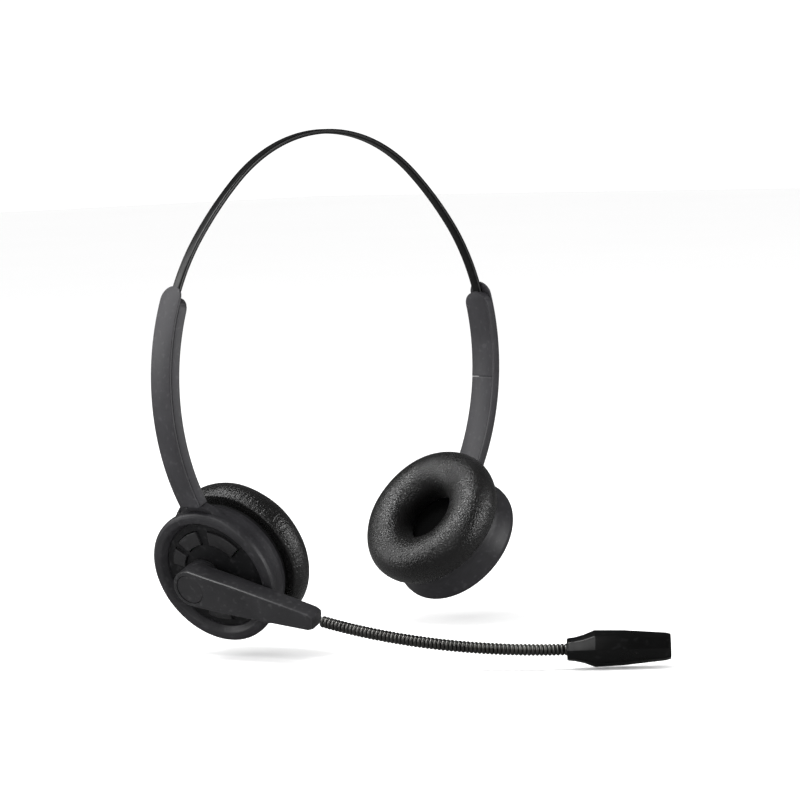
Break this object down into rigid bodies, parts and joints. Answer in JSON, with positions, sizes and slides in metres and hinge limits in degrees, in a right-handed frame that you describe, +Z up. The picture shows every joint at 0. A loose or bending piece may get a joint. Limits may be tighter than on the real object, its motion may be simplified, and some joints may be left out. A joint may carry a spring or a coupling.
{
  "type": "headset microphone",
  "caption": "Double-sided wireless headset: thin sprung band, sliding curved arms, round cups with padded cushions, and a pivoting boom with a gooseneck microphone.",
  "frame": {"origin": "underside of the band at the crown, where it rests on the head", "axes": "+X from the boom cup to the plain cup (the wearer's left), +Y towards the back of the head, +Z up; the wearer faces -Y"},
  "size_m": [0.1786, 0.1885, 0.1913],
  "materials": {
    "band_black": "gloss black moulded sleeve",
    "spring_steel": "bright rolled spring steel",
    "screw_steel": "zinc-plated steel",
    "ribbon": "amber flexible ribbon",
    "arm_black": "matte charcoal plastic",
    "housing_black": "matte charcoal plastic",
    "plate_black": "fine matte charcoal plastic",
    "key_grey": "satin dark grey plastic",
    "inner_plastic": "black structural plastic",
    "magnet": "nickel plate",
    "diaphragm": "thin translucent film",
    "cloth": "black open speaker cloth",
    "pad_leather": "black grained leatherette over foam",
    "switch_gold": "plated snap domes",
    "board_green": "green solder mask",
    "lens": "clear light pipe",
    "battery_wrap": "silver film wrap",
    "boom_black": "satin charcoal plastic",
    "gooseneck_black": "blackened steel coil",
    "capsule_black": "gloss black plastic",
    "mesh_metal": "woven wire mesh"
  },
  "bodies": {
    "band": {"band_core": "spring_steel", "band_sleeve": "band_black", "link_ribbon": "ribbon", "left_stop_block": "inner_plastic", "right_stop_block": "inner_plastic", "stop_rivets": "spring_steel"},
    "left_arm": {"left_arm_shell": "arm_black", "left_arm_cover": "arm_black", "left_arm_panel": "arm_black", "left_friction_leaf": "spring_steel", "left_arm_screws": "screw_steel", "left_housing": "housing_black", "left_baffle": "inner_plastic", "left_driver_frame": "inner_plastic", "left_driver_magnet": "magnet", "left_diaphragm": "diaphragm", "left_speaker_cloth": "cloth", "left_pad_ring": "inner_plastic", "left_ear_pad": "pad_leather", "left_cup_screws": "screw_steel", "face_plate": "plate_black", "dome_switches": "switch_gold", "main_board": "board_green", "charging_socket": "screw_steel", "indicator_lens": "lens", "pivot_bush": "inner_plastic", "wave_washer": "spring_steel", "pivot_screw": "screw_steel"},
    "right_arm": {"right_arm_shell": "arm_black", "right_arm_cover": "arm_black", "right_arm_panel": "arm_black", "right_friction_leaf": "spring_steel", "right_arm_screws": "screw_steel", "right_housing": "housing_black", "right_baffle": "inner_plastic", "right_driver_frame": "inner_plastic", "right_driver_magnet": "magnet", "right_diaphragm": "diaphragm", "right_speaker_cloth": "cloth", "right_pad_ring": "inner_plastic", "right_ear_pad": "pad_leather", "right_cup_screws": "screw_steel", "battery": "battery_wrap"},
    "boom": {"boom_arm": "boom_black", "boom_cap": "key_grey", "neck_collar": "capsule_black"},
    "neck_lower": {"gooseneck_1": "gooseneck_black"},
    "neck_middle": {"gooseneck_2": "gooseneck_black"},
    "neck_upper": {"gooseneck_3": "gooseneck_black", "capsule_front": "capsule_black", "capsule_rear": "capsule_black", "mic_element": "magnet", "mic_mesh": "mesh_metal"},
    "volume_up": {"volume_up_key": "key_grey"},
    "answer": {"answer_key": "key_grey"},
    "volume_down": {"volume_down_key": "key_grey"},
    "mute": {"mute_key": "key_grey"}
  },
  "joints": [
    {"name": "left_slider", "type": "hinge", "parent": "band", "child": "left_arm", "pos_m": [-0.00413, 0, -0.08932], "axis": [0, -1, 0], "range_deg": [0, 16.5]},
    {"name": "right_slider", "type": "hinge", "parent": "band", "child": "right_arm", "pos_m": [0.00413, 0, -0.08932], "axis": [0, 1, 0], "range_deg": [0, 16.5]},
    {"name": "boom_pivot", "type": "hinge", "parent": "left_arm", "child": "boom", "pos_m": [-0.06468, 0.00396, -0.15868], "axis": [-0.9182, -0.129, -0.3746], "range_deg": [-225, 65]},
    {"name": "neck_bend_near", "type": "hinge", "parent": "boom", "child": "neck_lower", "pos_m": [-0.06005, -0.04961, -0.17364], "axis": [-0.3286, -0.2802, 0.9019], "range_deg": [-20, 20]},
    {"name": "neck_bend_side", "type": "hinge", "parent": "neck_lower", "child": "neck_middle", "pos_m": [-0.05029, -0.07829, -0.17899], "axis": [-0.8584, -0.3097, -0.409], "range_deg": [-20, 20]},
    {"name": "neck_bend_far", "type": "hinge", "parent": "neck_middle", "child": "neck_upper", "pos_m": [-0.0358, -0.10547, -0.18216], "axis": [-0.3286, -0.2802, 0.9019], "range_deg": [-20, 20]},
    {"name": "volume_up_press", "type": "slide", "parent": "left_arm", "child": "volume_up", "axis": [0.9182, 0.129, 0.3746], "range_m": [0, 0.0006], "stiffness_N_per_m": 1500, "springref_m": -0.0003},
    {"name": "answer_press", "type": "slide", "parent": "left_arm", "child": "answer", "axis": [0.9182, 0.129, 0.3746], "range_m": [0, 0.0006], "stiffness_N_per_m": 1500, "springref_m": -0.0003},
    {"name": "volume_down_press", "type": "slide", "parent": "left_arm", "child": "volume_down", "axis": [0.9182, 0.129, 0.3746], "range_m": [0, 0.0006], "stiffness_N_per_m": 1500, "springref_m": -0.0003},
    {"name": "mute_press", "type": "slide", "parent": "left_arm", "child": "mute", "axis": [0.9182, 0.129, 0.3746], "range_m": [0, 0.0006], "stiffness_N_per_m": 1500, "springref_m": -0.0003}
  ]
}
